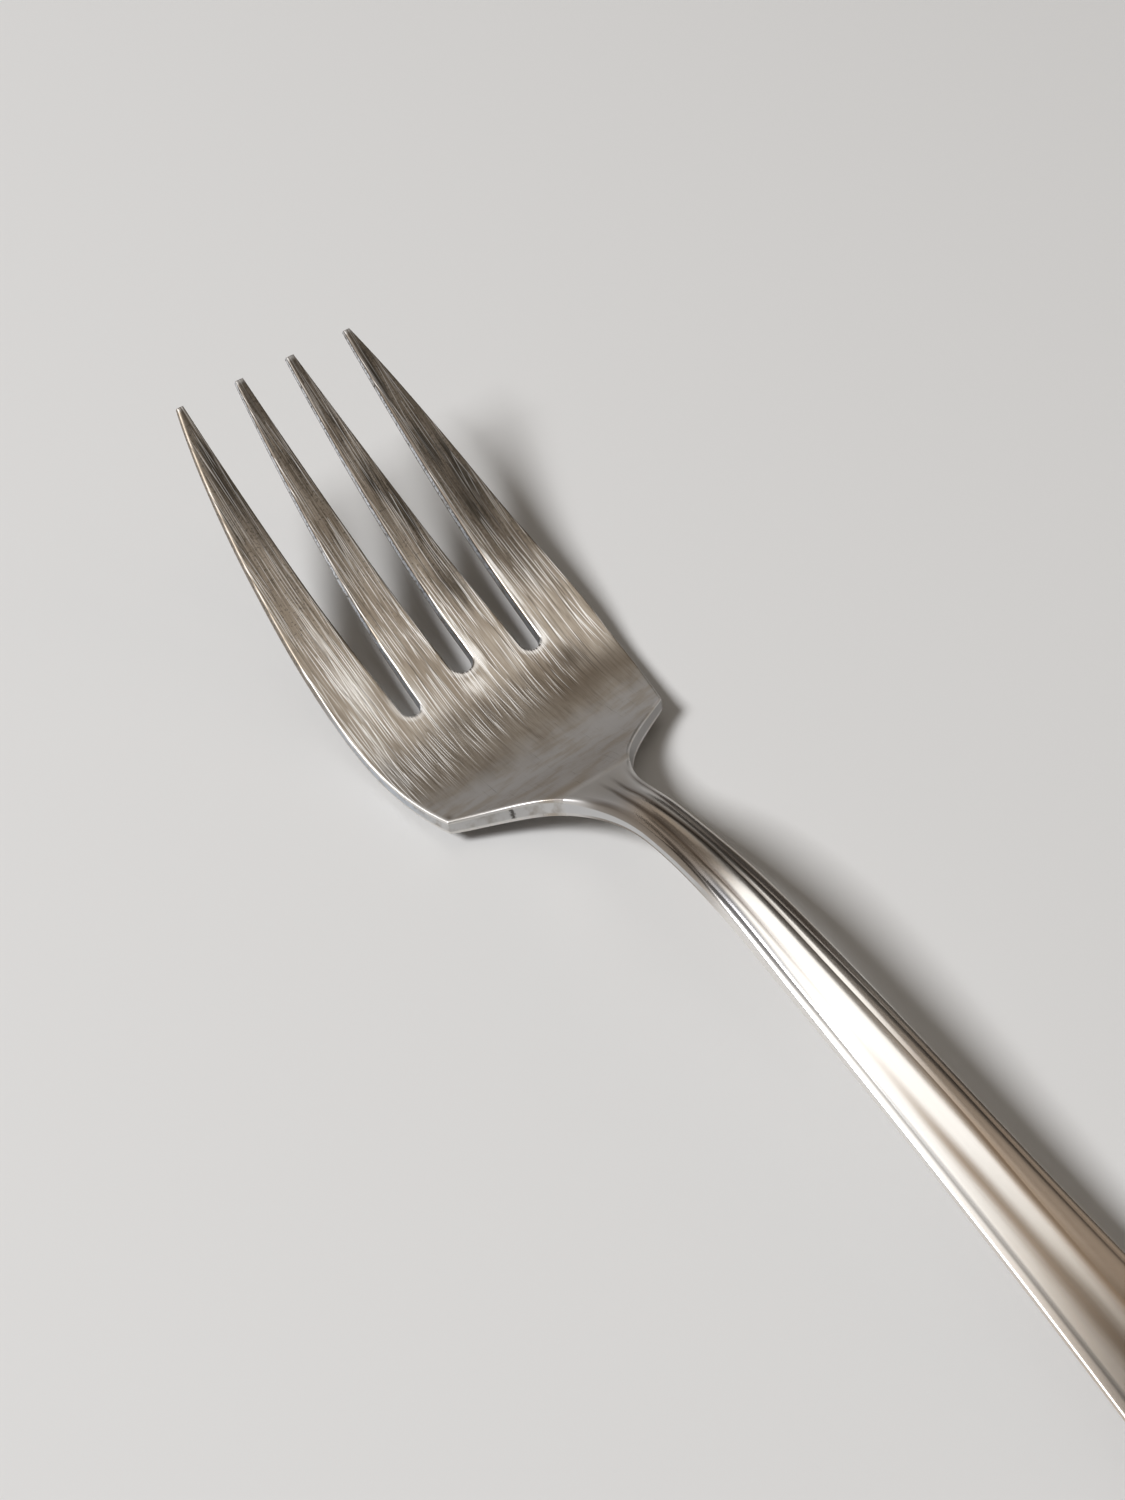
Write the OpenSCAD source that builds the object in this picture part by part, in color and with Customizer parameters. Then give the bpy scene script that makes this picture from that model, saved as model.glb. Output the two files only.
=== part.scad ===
// Four-tined serving fork, lying as it does on a table with its tines up.
// Millimetres. +Y runs towards the tips, +X to the right, +Z up, the table is z = 0.
// Stations are counted along Y from the shoulder corners: ahead of them towards the tips, behind them
// towards the end of the handle. Each cross-section stands square to the curve of the underside.

/* [Lengths] */
// Shoulder corners to the tips of the tines
tine_reach = 69.6; // [62:0.2:78]
// Shoulder corners to the end of the handle
handle_reach = 147; // [130:1:165]
// Shoulder corners back to the joint of head and handle
joint_back = 8.8; // [7:0.1:11]

/* [Head outline] */
// Width across the shoulder corners
shoulder_w = 35; // [32:0.2:38]
// Width across the flanks of the bowl, just ahead of the shoulders
flank_w = 38.9; // [37:0.2:41]
// Distance of the flanks ahead of the shoulders
flank_at = 10; // [7:0.5:13]
// Width at the widest part of the bowl
bowl_w = 40.2; // [38:0.2:43]
// Distance of the widest part ahead of the shoulders
bowl_at = 24; // [20:0.5:28]
// Width across the outer tines where they begin to draw in
mid_w = 36.8; // [34:0.2:39]
// Distance of that place ahead of the shoulders
mid_at = 46; // [42:0.5:50]
// Width across the outer tines where they turn in to the tips
fore_w = 32.8; // [30:0.2:35]
// Distance of that turn behind the tips
fore_back = 9.6; // [7:0.2:12]
// Width across the outer corners of the tips
tip_span = 28.4; // [26:0.2:30]
// Length over which the shoulders sweep in to the neck
shoulder_sweep = 5.6; // [4.6:0.1:6.4]
// Fullness of that sweep: 1 leaves the corners at once, more keeps it straight for longer
shoulder_bow = 1.15; // [1:0.05:1.3]

/* [Slots] */
// Distance of the outer slots' roots ahead of the shoulders
outer_root = 19.5; // [17:0.2:22]
// Distance of the middle slot's root ahead of the shoulders
middle_root = 21.6; // [19:0.2:25]
// Distance from the fork's middle to an outer slot, at its root
outer_slot_x = 10; // [9:0.1:11]
// Distance from the fork's middle to an outer slot, half way along
outer_slot_mid_x = 9.8; // [9:0.1:11]
// Distance from the fork's middle to an outer slot, at the tips
outer_slot_tip_x = 9; // [8.4:0.1:10]
// Width of an outer slot at its root
outer_gap = 2.9; // [2.4:0.1:3.6]
// Width of an outer slot half way along
outer_gap_mid = 5.1; // [4:0.1:6]
// Width of an outer slot at the tips
outer_gap_tip = 8.4; // [7.6:0.1:9]
// Width of the middle slot at its root
middle_gap = 3.6; // [2.8:0.1:4.2]
// Width of the middle slot half way along
middle_gap_mid = 4.7; // [4:0.1:6]
// Width of the middle slot at the tips
middle_gap_tip = 7.1; // [6:0.1:7.6]
// Distance of the half-way place ahead of the shoulders
slot_mid_at = 44; // [38:0.5:50]

/* [Side profile] */
// Height of the underside at the tips
tip_h = 23.4; // [18:0.2:28]
// Height of the underside half way along the tines
tine_h = 8.6; // [7:0.1:11]
// Distance of that place ahead of the shoulders
tine_at = 42; // [38:0.5:46]
// Height of the underside where the bowl turns up into the tines
heel_h = 2.35; // [1.5:0.05:3.2]
// Distance of that turn ahead of the shoulders
heel_at = 24; // [21:0.5:27]
// Distance of the bowl's lowest point ahead of the shoulders
low_at = 12; // [10:0.5:14]
// Height of the underside between the shoulders
shoulder_h = 1.95; // [1.4:0.05:2.6]
// Height of the underside at the joint
joint_h = 6.2; // [5:0.1:7.4]
// Height of the underside at the narrow neck
neck_h = 12.2; // [10.5:0.1:13.4]
// Distance of the narrow neck behind the shoulders
neck_at = 22; // [19:0.5:25]
// Height of the underside at the top of the arch
arch_h = 13.55; // [12:0.05:15]
// Distance of the top of the arch behind the shoulders
arch_at = 42; // [38:0.5:46]
// Height of the underside at the middle of the grip
grip_h = 8.45; // [7:0.05:9.8]
// Distance of the middle of the grip behind the shoulders
grip_at = 87; // [78:1:96]
// Rise of the bowl's rim over its middle, at the lowest point
dish_low = 1.5; // [0.8:0.05:2.4]
// Rise of the rim over the middle, between the shoulders
dish_shoulder = 0.75; // [0.3:0.05:1.4]
// Rise of the outer tines over the inner ones, half way along
dish_tine = 0.9; // [0.3:0.05:1.6]

/* [Thickness] */
// Thickness at the tips
tip_t = 1.2; // [0.9:0.05:1.6]
// Thickness half way along the tines
tine_t = 1.75; // [1.4:0.05:2.2]
// Thickness at the bottom of the bowl
bowl_t = 2.05; // [1.6:0.05:2.6]
// Thickness between the shoulders
shoulder_t = 2.2; // [1.8:0.05:2.8]
// Thickness at the joint
joint_t = 2.75; // [2.2:0.05:3.4]
// Thickness of the neck's sides
neck_t = 3.05; // [2.6:0.05:3.6]
// Thickness of the handle's sides where it begins to widen
stem_t = 1.8; // [1.5:0.05:2.3]
// Thickness of the sides at the middle of the grip
grip_t = 1.3; // [1.1:0.05:1.8]
// Thickness at the end of the handle
end_t = 1.2; // [1:0.05:1.7]

/* [Handle outline] */
// Width of the neck
neck_w = 5.7; // [5:0.1:6.6]
// Width where the handle begins to widen
stem_w = 8.35; // [7.4:0.05:9.2]
// Distance of that place behind the shoulders
stem_at = 50; // [46:1:56]
// Width at the middle of the grip
grip_w = 11.3; // [10.2:0.1:12.6]
// Width at the widest part of the handle
palm_w = 16.5; // [15:0.1:18.6]
// Distance of the widest part before the end of the handle
palm_back = 16; // [12:0.5:22]
// Width that the handle draws in to before its round end
end_w = 16; // [14:0.1:18]
// Length of the round end
end_round = 9; // [6:0.5:11]

/* [Reeds] */
// Place of the inner grooves at the neck, as a share of the half width
inner_neck_groove = 0.24; // [0.2:0.01:0.3]
// Place of the inner grooves along the grip, as a share of the half width
inner_groove = 0.32; // [0.26:0.01:0.38]
// Place of the outer grooves at the neck, as a share of the half width
outer_neck_groove = 0.68; // [0.6:0.01:0.74]
// Place of the outer grooves along the grip, as a share of the half width
outer_groove = 0.8; // [0.72:0.01:0.86]
// Distance behind the shoulders over which the grooves fan out to those places
groove_fan = 70; // [50:1:90]
// Depth of the grooves between the reeds
groove_d = 0.2; // [0.1:0.05:0.35]
// Distance behind the joint at which the grooves reach their depth
groove_run_in = 12; // [8:0.5:16]
// Distance before the end of the handle at which the grooves have run out
groove_stop = 13; // [11:0.5:18]
// Length over which the grooves run out
groove_run_out = 14; // [8:0.5:20]
// Rise of the middle of the handle over its sides
crown = 1; // [0.6:0.05:1.4]
// Rise of the sides of the handle's back over its middle
back_round = 0.25; // [0.1:0.05:0.4]

/* [Hidden] */

// Columns across each reed, each tine, and steps along each stretch
reed_cols = 4;
tine_cols = 4;
shoulder_rows = 8;
bowl_rows = 8;
root_rows = 4;
tine_rows = 16;
neck_rows = 12;
grip_rows = 22;
end_rows = 6;
// The round end stops short of a point, at this angle of its quarter turn
end_turn = 82;
// Rows crowd towards the shoulder corners by this power
shoulder_crowd = 1.6;
// Rows closer than this are merged
row_gap = 0.04;

tip_at = tine_reach;
end_at = -handle_reach;

side = [
  [end_at, 0],
  [-grip_at, grip_h],
  [-arch_at, arch_h],
  [-neck_at, neck_h],
  [-joint_back, joint_h],
  [0, shoulder_h],
  [low_at, 0],
  [heel_at, heel_h],
  [tine_at, tine_h],
  [tip_at, tip_h]
];
thick = [
  [end_at, end_t],
  [-grip_at, grip_t],
  [-stem_at, stem_t],
  [-neck_at, neck_t],
  [-joint_back, joint_t],
  [0, shoulder_t],
  [low_at, bowl_t],
  [tine_at, tine_t],
  [tip_at, tip_t]
];
dish = [
  [-joint_back, 0],
  [0, dish_shoulder],
  [low_at, dish_low],
  [tine_at, dish_tine],
  [tip_at, 0]
];
outline = [
  [0, shoulder_w],
  [flank_at, flank_w],
  [bowl_at, bowl_w],
  [mid_at, mid_w],
  [tip_at - fore_back, fore_w],
  [tip_at, tip_span]
];
stem = [
  [end_at, end_w],
  [end_at + palm_back, palm_w],
  [-grip_at, grip_w],
  [-stem_at, stem_w],
  [-neck_at, neck_w],
  [0, neck_w]
];
slot_x = [[outer_root, outer_slot_x], [slot_mid_at, outer_slot_mid_x], [tip_at, outer_slot_tip_x]];
outer_gaps = [[outer_root, outer_gap], [slot_mid_at, outer_gap_mid], [tip_at, outer_gap_tip]];
middle_gaps = [[middle_root, middle_gap], [slot_mid_at, middle_gap_mid], [tip_at, middle_gap_tip]];

// Slope of the chord between knots i and i + 1
function chord(k, i) = (k[i + 1][1] - k[i][1]) / (k[i + 1][0] - k[i][0]);

// Slope at knot i: from its neighbours, and at an end so that the last stretch is a parabola
function knot_slope(k, i) =
  i == 0 ? 2 * chord(k, 0) - knot_slope(k, 1)
  : i == len(k) - 1 ? 2 * chord(k, i - 1) - knot_slope(k, i - 1)
  : (k[i + 1][1] - k[i - 1][1]) / (k[i + 1][0] - k[i - 1][0]);

// Index of the stretch of knots that holds station a
function stretch(k, a, i = 0) = i >= len(k) - 2 || a <= k[i + 1][0] ? i : stretch(k, a, i + 1);

// Smooth cubic curve through the knots k, at station a
function curve(k, a) =
  let (
    i = stretch(k, a),
    h = k[i + 1][0] - k[i][0],
    s = (a - k[i][0]) / h,
    from_a = (1 + 2 * s) * pow(1 - s, 2),
    from_b = s * s * (3 - 2 * s),
    lean_a = s * pow(1 - s, 2) * h,
    lean_b = s * s * (s - 1) * h
  )
  from_a * k[i][1] + from_b * k[i + 1][1] + lean_a * knot_slope(k, i) + lean_b * knot_slope(k, i + 1);

// Angle of the underside at station a
slope_step = 0.05;
function lean(a) = atan((curve(side, a + slope_step) - curve(side, a - slope_step)) / (2 * slope_step));

// Smooth step from 0 at p to 1 at q
function ease(p, q, a) = let (s = max(0, min(1, (a - p) / (q - p)))) s * s * (3 - 2 * s);

// The origin lies under the middle of the fork's length, on the table
back_y = end_at - end_t * sin(lean(end_at));
mid_y = (tip_at + back_y) / 2;

// Point at station a, x to the side and h above the underside, square to it
function spot(a, x, h) =
  let (q = lean(a))
  [x, a - mid_y - h * sin(q), curve(side, a) + h * cos(q)];

// Half width of the handle at station a, drawn in as an ellipse over its round end
function stem_half(a) =
  let (into = max(0, end_at + end_round - a) / end_round)
  curve(stem, a) / 2 * sqrt(max(0, 1 - into * into));

// Half width of the fork: the head's outline ahead of the shoulders, and behind them the handle
// with a flare that dies away from the shoulder corners
function half_w(a) =
  a >= 0 ? curve(outline, a) / 2
  : stem_half(a) + (shoulder_w - neck_w) / 2 * exp(-pow(-a / shoulder_sweep, shoulder_bow));

// Half width of a slot at station a, with a round root whose radius is half the gap there
function half_gap(gaps, root, a) =
  let (r = gaps[0][1] / 2, d = a - root)
  d <= 0 ? 0
  : curve(gaps, a) / 2 * (d < r ? sqrt(1 - pow(1 - d / r, 2)) : 1);

// Middle of the right-hand slot: behind its root this line follows the outline in proportion
function slot_mid(a) =
  a >= outer_root ? curve(slot_x, a) : outer_slot_x * half_w(a) / half_w(outer_root);

// Left and right edge of each tine at station a
function tine_edges(a) =
  let (
    h = half_w(a),
    c = slot_mid(a),
    g = half_gap(outer_gaps, outer_root, a),
    m = half_gap(middle_gaps, middle_root, a)
  )
  [[-h, -c - g], [-c + g, -m], [m, c - g], [c + g, h]];

// Sorted list without rows that lie too close together
function sorted(v) =
  len(v) < 2 ? v
  : let (p = v[floor(len(v) / 2)])
    concat(sorted([for (a = v) if (a < p) a]), [for (a = v) if (a == p) a], sorted([for (a = v) if (a > p) a]));
function spaced(v) = [for (i = [0 : len(v) - 1]) if (i == 0 || v[i] - v[i - 1] > row_gap) v[i]];

// Stations of the rows round the root of a slot, at equal turns of its arc
function root_stations(root, gap) =
  [for (i = [0 : root_rows]) root + gap / 2 * (1 - cos(90 * i / root_rows))];

// Closed skin over a grid of [underside, top] points: grid[row][strip][column].
// shut[row][slot] says that the two strips beside that slot are one there.
module skin(grid, shut) {
  strips = len(grid[0]);
  cols = len(grid[0][0]);
  last = len(grid) - 1;
  function at(i, k, j, b) =
    let (joined = j == 0 && k > 0 && shut[i][k - 1])
    ((i * strips + (joined ? k - 1 : k)) * cols + (joined ? cols - 1 : j)) * 2 + b;
  function two(p, q, r, s) = [[p, q, r], [p, r, s]];
  function open_left(i, k) = k == 0 || !shut[i][k - 1];
  function open_right(i, k) = k == strips - 1 || !shut[i][k];
  points = [for (row = grid) for (strip = row) for (pair = strip) for (p = pair) p];
  tops = [
    for (i = [0 : last - 1]) for (k = [0 : strips - 1]) for (j = [0 : cols - 2])
      each two(at(i, k, j, 1), at(i + 1, k, j, 1), at(i + 1, k, j + 1, 1), at(i, k, j + 1, 1))
  ];
  backs = [
    for (i = [0 : last - 1]) for (k = [0 : strips - 1]) for (j = [0 : cols - 2])
      each two(at(i, k, j, 0), at(i, k, j + 1, 0), at(i + 1, k, j + 1, 0), at(i + 1, k, j, 0))
  ];
  lefts = [
    for (i = [0 : last - 1]) for (k = [0 : strips - 1])
      if (open_left(i + 1, k))
        each two(at(i + 1, k, 0, 0), at(i + 1, k, 0, 1), at(i, k, 0, 1), at(i, k, 0, 0))
  ];
  rights = [
    for (i = [0 : last - 1]) for (k = [0 : strips - 1])
      if (open_right(i + 1, k))
        let (j = cols - 1)
        each two(at(i, k, j, 0), at(i, k, j, 1), at(i + 1, k, j, 1), at(i + 1, k, j, 0))
  ];
  ends = [
    for (k = [0 : strips - 1]) for (j = [0 : cols - 2])
      each concat(
        two(at(0, k, j, 0), at(0, k, j, 1), at(0, k, j + 1, 1), at(0, k, j + 1, 0)),
        two(at(last, k, j + 1, 0), at(last, k, j + 1, 1), at(last, k, j, 1), at(last, k, j, 0))
      )
  ];
  polyhedron(points = points, faces = concat(tops, backs, lefts, rights, ends));
}

// Head: a dished plate with sharp shoulder corners, cut by three round-rooted slots into four tines
head_stations = spaced(sorted(concat(
  [for (i = [0 : shoulder_rows]) -joint_back * pow(1 - i / shoulder_rows, shoulder_crowd)],
  [for (i = [1 : bowl_rows]) outer_root * i / bowl_rows],
  root_stations(outer_root, outer_gap),
  root_stations(middle_root, middle_gap),
  let (from = max(outer_root + outer_gap, middle_root + middle_gap))
    [for (i = [0 : tine_rows]) from + (tip_at - from) * i / tine_rows]
)));
function head_pair(a, x) =
  let (rise = curve(dish, a) * pow(2 * x / bowl_w, 2))
  [spot(a, x, rise), spot(a, x, rise + curve(thick, a))];
module fork_head() {
  grid = [
    for (a = head_stations) [
      for (e = tine_edges(a)) [
        for (j = [0 : tine_cols]) head_pair(a, e[0] + (e[1] - e[0]) * j / tine_cols)
      ]
    ]
  ];
  shut = [for (a = head_stations) [a <= outer_root, a <= middle_root, a <= outer_root]];
  color([0.56, 0.52, 0.47]) skin(grid, shut);
}

// Handle: a reeded bar that narrows to the neck, arches, and widens to a plain round end
handle_stations = spaced(sorted(concat(
  [for (i = [0 : neck_rows]) -joint_back - (neck_at - joint_back) * i / neck_rows],
  [for (i = [1 : grip_rows]) -neck_at - (handle_reach - end_round - neck_at) * i / grip_rows],
  [for (i = [1 : end_rows]) end_at + end_round - end_round * sin(end_turn * i / end_rows)]
)));
// Edges and grooves of the reeds at station a, as shares of the half width
function groove_places(a) =
  let (
    fan = ease(-joint_back, -groove_fan, a),
    inner = inner_neck_groove + (inner_groove - inner_neck_groove) * fan,
    outer = outer_neck_groove + (outer_groove - outer_neck_groove) * fan
  )
  [-1, -outer, -inner, inner, outer, 1];
// Shares of the half width across the reeds, and how far each lies from its reed's ridge
function reed_shares(a) =
  let (places = groove_places(a))
  [
    for (r = [0 : len(places) - 2]) for (j = [0 : reed_cols])
      if (r == 0 || j > 0)
        [places[r] + (places[r + 1] - places[r]) * j / reed_cols, 2 * j / reed_cols - 1]
  ];
function groove_depth(a) =
  groove_d * ease(-joint_back, -joint_back - groove_run_in, a)
  * ease(end_at + groove_stop, end_at + groove_stop + groove_run_out, a);
function handle_pair(a, reed) =
  let (
    swell = ease(-joint_back, -joint_back - groove_run_in, a) * ease(end_at, end_at + palm_back, a),
    u = reed[0],
    top = curve(thick, a) + crown * swell * (1 - u * u) - groove_depth(a) * pow(reed[1], 2),
    x = u * half_w(a)
  )
  [spot(a, x, back_round * swell * u * u), spot(a, x, top)];
module handle() {
  grid = [for (a = handle_stations) [[for (reed = reed_shares(a)) handle_pair(a, reed)]]];
  shut = [for (a = handle_stations) []];
  color([0.80, 0.77, 0.73]) skin(grid, shut);
}

fork_head();
handle();
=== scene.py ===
import math

import bpy
import numpy as np
from mathutils import Matrix, Vector


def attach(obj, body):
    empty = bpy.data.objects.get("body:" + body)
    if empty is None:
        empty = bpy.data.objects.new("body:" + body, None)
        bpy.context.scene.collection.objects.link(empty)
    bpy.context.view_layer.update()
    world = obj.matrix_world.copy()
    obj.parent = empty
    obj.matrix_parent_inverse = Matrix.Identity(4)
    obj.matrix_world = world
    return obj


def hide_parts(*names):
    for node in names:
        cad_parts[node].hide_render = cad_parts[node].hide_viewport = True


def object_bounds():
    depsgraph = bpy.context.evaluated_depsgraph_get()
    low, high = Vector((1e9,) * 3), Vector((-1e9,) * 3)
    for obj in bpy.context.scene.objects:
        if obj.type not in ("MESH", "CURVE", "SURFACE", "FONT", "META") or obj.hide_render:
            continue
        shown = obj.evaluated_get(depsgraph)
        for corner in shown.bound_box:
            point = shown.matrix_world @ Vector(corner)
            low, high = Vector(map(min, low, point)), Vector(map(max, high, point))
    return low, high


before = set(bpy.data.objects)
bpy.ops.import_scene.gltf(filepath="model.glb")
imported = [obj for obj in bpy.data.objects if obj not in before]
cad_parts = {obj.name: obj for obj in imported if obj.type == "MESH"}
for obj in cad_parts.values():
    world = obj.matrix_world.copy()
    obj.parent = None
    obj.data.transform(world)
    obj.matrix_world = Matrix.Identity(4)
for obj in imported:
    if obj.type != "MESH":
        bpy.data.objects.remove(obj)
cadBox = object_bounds()

# The fork lies along Y with its tips at +Y. Shapes are worked out in millimetres, on stations counted
# along Y from the shoulder corners of the head, and go into the meshes in metres.
millimetre = 0.001
slopeStep = 0.05     # millimetres to each side over which a slope is taken
rowSlack = 0.001     # millimetres by which a row may miss the root of its slot
weldSize = 2e-7      # metres within which points become one
sharpAngle = 40.0    # degrees between faces past which their edge is sharp
pointsAtOnce = 1500  # points in one go of the distance to the edges, to spare memory

forkShape = {
    "tineReach": 69.6,      # shoulder corners to the tips
    "handleReach": 147.0,   # shoulder corners to the end of the handle
    "jointBack": 8.8,       # shoulder corners back to the joint
    # station, height of the underside above the table
    "underside": [(-147, 0), (-87, 8.45), (-42, 13.55), (-22, 12.2), (-8.8, 6.2), (0, 1.95),
                  (12, 0), (24, 2.35), (42, 8.6), (69.6, 23.4)],
    # station, thickness: the handle's is that of its sides
    "thickness": [(-147, 1.2), (-87, 1.3), (-50, 1.8), (-22, 3.05), (-8.8, 2.75), (0, 2.2), (12, 2.05),
                  (42, 1.75), (69.6, 1.2)],
}

headShape = {
    # station, full width
    "outline": [(0, 35), (10, 38.9), (24, 40.2), (46, 36.8), (60, 32.8), (69.6, 28.4)],
    "shoulderWidth": 35.0,
    "shoulderSweep": 5.6,
    "shoulderBow": 1.15,    # 1 leaves the corners at once, more keeps the sweep straight for longer
    "bowlWidth": 40.2,
    # station, rise of the rim over the middle
    "dish": [(-8.8, 0), (0, 0.75), (12, 1.5), (42, 0.9), (69.6, 0)],
    "outerRoot": 19.5,
    "middleRoot": 21.6,
    "outerSlotX": [(19.5, 10), (44, 9.8), (69.6, 9)],
    "outerGap": [(19.5, 2.9), (44, 5.1), (69.6, 8.4)],
    "middleGap": [(21.6, 3.6), (44, 4.7), (69.6, 7.1)],
    "topRound": (0.36, 0.24),    # width and depth of the rubbed top edges
    "underRound": (0.35, 0.30),
    # spots of wear: across, station, half width, half length, strength
    "spots": {
        # dark stains along the tines
        "stained": [(-13.8, 63, 0.9, 5, 0.8), (-14.2, 58, 1.5, 5, 0.8), (-17.3, 51.5, 0.9, 4, 0.7),
                    (-5.0, 62.5, 0.8, 4, 0.5), (-4.2, 56.5, 0.8, 5, 0.6), (-4.6, 44, 1.2, 6, 0.5),
                    (4.5, 60, 0.8, 4, 0.6), (4.6, 51, 1.3, 5, 0.7), (6.2, 46, 1.2, 6, 0.8),
                    (5.6, 33, 1.5, 4, 0.6), (13.5, 63, 0.9, 5, 0.9), (14.6, 52, 1.3, 5, 0.7),
                    (16.6, 47, 1.1, 5, 0.9), (15.2, 40, 1.6, 5, 0.6)],
        # broader darkening of the tines and the bowl
        "aged": [(15.8, 60, 5, 13, 0.55), (15.8, 43, 5, 11, 0.8), (16.5, 31, 4, 6, 0.5),
                 (6.8, 45, 1.8, 12, 0.6), (5.5, 33, 1.8, 5, 0.55), (0, 70, 20, 11, 0.75),
                 (-15, 54, 4, 6, 0.45), (4, 15.8, 9, 3.2, 0.45), (-7, 15.8, 5, 3.2, 0.45),
                 (13, 15.5, 2.6, 3.0, 0.7), (-13.4, 51, 0.9, 8, 0.4), (-3.4, 55, 0.9, 7, 0.5),
                 (6.3, 36, 2.2, 5, 0.4), (16.0, 35, 4, 5, 0.35)],
        # brown stains behind the slots, and one at the left shoulder corner
        "browned": [(13.0, 11.0, 3.6, 2.6, 0.9), (17.8, 10.2, 3.0, 2.2, 0.6), (8.0, 10.6, 3.5, 2.0, 0.5),
                    (-16.9, 0.6, 0.5, 0.5, 0.9)],
        # places rubbed bright beside the slots' roots, on the left tines and along the left rim
        "rubbed": [(-0.5, 19.2, 2.4, 2.4, 0.75), (2.5, 23, 0.9, 3.5, 0.9), (11.6, 20.5, 1.0, 2.2, 0.7),
                   (-8.3, 18.4, 1.3, 1.6, 0.6), (12.4, 30, 0.7, 10, 0.8), (2.3, 29, 0.6, 6, 0.7),
                   (-8.2, 28, 0.6, 6, 0.5), (-15.2, 26, 2.6, 6, 0.75), (-15.2, 36, 1.2, 6, 0.6),
                   (-4.6, 30, 1.6, 4, 0.45), (-18.0, 13, 1.8, 8, 0.7)],
    },
    # rows of the mesh: how many along each stretch, and how much they crowd towards the shoulder corners
    "rows": {"sweep": 26, "corner": 10, "bowl": 34, "root": 15, "tines": 84},
    "sweepCrowd": 1.7,
    "cornerCrowd": 1.6,
    "cornerReach": 2.0,     # the stretch ahead of the corners
    "nearRows": [0.02, 0.06, 0.12, 0.2, 0.3, 0.42, 0.6, 0.9],    # distances behind the tips and the roots
    "closestRows": 0.012,
    "tineColumns": 33,
    "wallRows": 5,
    "edgeSteps": {"sweep": 60, "head": 240, "root": 12},    # short lines along the free edges
}

handleShape = {
    # station, full width
    "outline": [(-147, 16), (-131, 16.5), (-87, 11.3), (-50, 8.35), (-22, 5.7), (0, 5.7)],
    "neckWidth": 5.7,
    "endRound": 9.0,
    # station, place of a groove as a share of the half width: at the neck they lie a little to the left
    "leftOuter": [(-147, -0.80), (-70, -0.80), (-40, -0.76), (-34, -0.78), (-29, -0.85), (-22, -0.90),
                  (-8.8, -0.86)],
    "leftInner": [(-147, -0.26), (-100, -0.27), (-86, -0.32), (-70, -0.39), (-50, -0.39), (-36, -0.42),
                  (-22, -0.50), (-17, -0.42), (-13, -0.20), (-8.8, -0.05)],
    "rightInner": [(-147, 0.26), (-100, 0.27), (-86, 0.32), (-70, 0.39), (-50, 0.32), (-38, 0.28),
                   (-32, 0.22), (-27, 0.16), (-20, 0.0), (-16, 0.04), (-12.5, 0.20), (-8.8, 0.28)],
    "rightOuter": [(-147, 0.80), (-70, 0.80), (-52, 0.72), (-42, 0.64), (-31, 0.52), (-24, 0.45),
                   (-20, 0.50), (-16, 0.64), (-12, 0.77), (-8.8, 0.80)],
    # station, width and depth of the rounded top edges
    "roundWidth": [(-147, 0.3), (-42, 0.26), (-34, 0.35), (-29, 0.8), (-22, 1.1), (-14, 1.0), (-8.8, 0.5)],
    "roundDepth": [(-147, 0.2), (-42, 0.18), (-34, 0.26), (-29, 0.75), (-22, 1.1), (-14, 0.9), (-8.8, 0.36)],
    # station, slope of the reeds' flanks beside the grooves
    "reedSlope": [(-147, 0.08), (-90, 0.10), (-75, 0.13), (-58, 0.19), (-42, 0.27), (-25, 0.32), (-8.8, 0.32)],
    "grooveDepth": 0.15,
    "grooveRunIn": 7.0,     # behind the joint
    "crownRunIn": 12.0,
    "grooveStop": 13.0,     # before the end
    "grooveRunOut": 14.0,
    "crown": 1.0,
    "backRound": 0.25,
    "palmBack": 16.0,       # the crown runs out over this length at the end
    "edgeRound": (0.5, 0.36),    # width and depth along the underside
    # rows of the mesh: how many along each stretch, and how much they crowd towards the joint
    "rows": {"neck": 90, "grip": 170, "end": 40},
    "neckReach": 30.0,
    "neckCrowd": 1.2,
    "endTurn": 88.0,        # degrees of the round end that have rows
    "reedColumns": 18,
    "wallRows": 5,
}

tipY = cadBox[1][1] / millimetre
stationShift = tipY - forkShape["tineReach"]


# Smooth curve through named stations: a cubic in each stretch, whose slope at a station is that of the
# chord between its two neighbours, and whose end stretches are parabolas.
def throughStations(pairs, at):
    x, y = np.array(pairs, float).T
    chords = np.diff(y) / np.diff(x)
    slopes = np.empty_like(y)
    slopes[1:-1] = (y[2:] - y[:-2]) / (x[2:] - x[:-2])
    slopes[0] = 2 * chords[0] - slopes[1]
    slopes[-1] = 2 * chords[-1] - slopes[-2]
    i = np.clip(np.searchsorted(x, at) - 1, 0, len(x) - 2)
    h = x[i + 1] - x[i]
    s = (at - x[i]) / h
    return ((1 + 2 * s) * (1 - s) ** 2 * y[i] + s * s * (3 - 2 * s) * y[i + 1]
            + s * (1 - s) ** 2 * h * slopes[i] + s * s * (s - 1) * h * slopes[i + 1])


# Slope of a curve, from two points beside the station.
def slopeOf(curve, station):
    return (curve(station + slopeStep) - curve(station - slopeStep)) / (2 * slopeStep)


def smoothStep(start, stop, value):
    s = np.clip((value - start) / (stop - start), 0, 1)
    return s * s * (3 - 2 * s)


# Shares from 0 to 1 that crowd towards both ends, as a cosine does.
def crowdedShares(count):
    return (1 - np.cos(np.linspace(0, np.pi, count))) / 2


# A quarter ellipse: how far a face has fallen at a distance from its edge.
def edgeFall(distance, width, depth):
    near = np.clip(1 - distance / width, 0, 1)
    return depth * (1 - np.sqrt(1 - near * near))


def undersideHeight(station):
    return throughStations(forkShape["underside"], station)


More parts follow.
